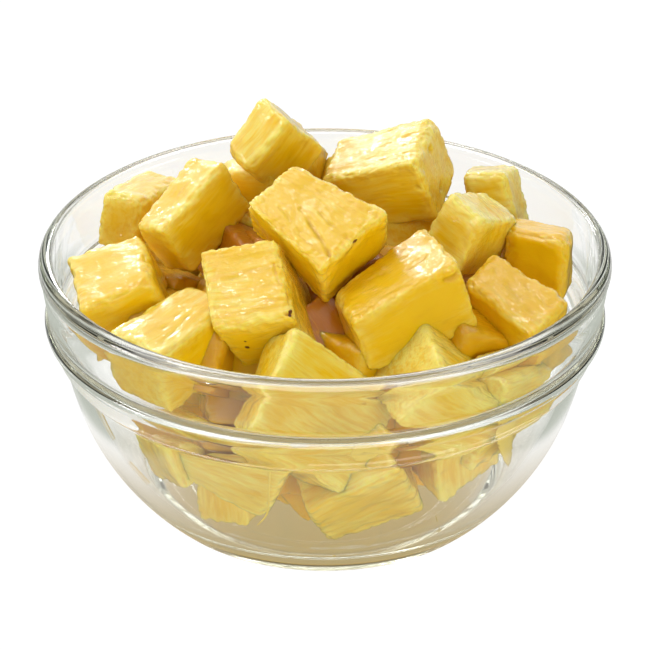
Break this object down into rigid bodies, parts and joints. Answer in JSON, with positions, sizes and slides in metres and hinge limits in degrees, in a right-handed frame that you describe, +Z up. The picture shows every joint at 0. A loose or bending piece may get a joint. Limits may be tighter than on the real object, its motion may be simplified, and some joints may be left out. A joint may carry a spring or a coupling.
{
  "type": "bowl of pineapple chunks",
  "caption": "Round clear glass bowl with a banded, ridged collar, heaped above its rim with wet, freshly cut pineapple chunks.",
  "frame": {"origin": "middle of the bowl's foot, on the surface that it stands on", "axes": "+Z up along the bowl's axis; -Y is the side that shows the heap's front, +X to its right"},
  "size_m": [0.17, 0.17, 0.1182],
  "materials": {
    "glass": "clear pressed glass, polished",
    "pineapple": null
  },
  "bodies": {
    "root": {"glass_bowl": "glass", "pineapple_heap": "pineapple"}
  },
  "joints": []
}
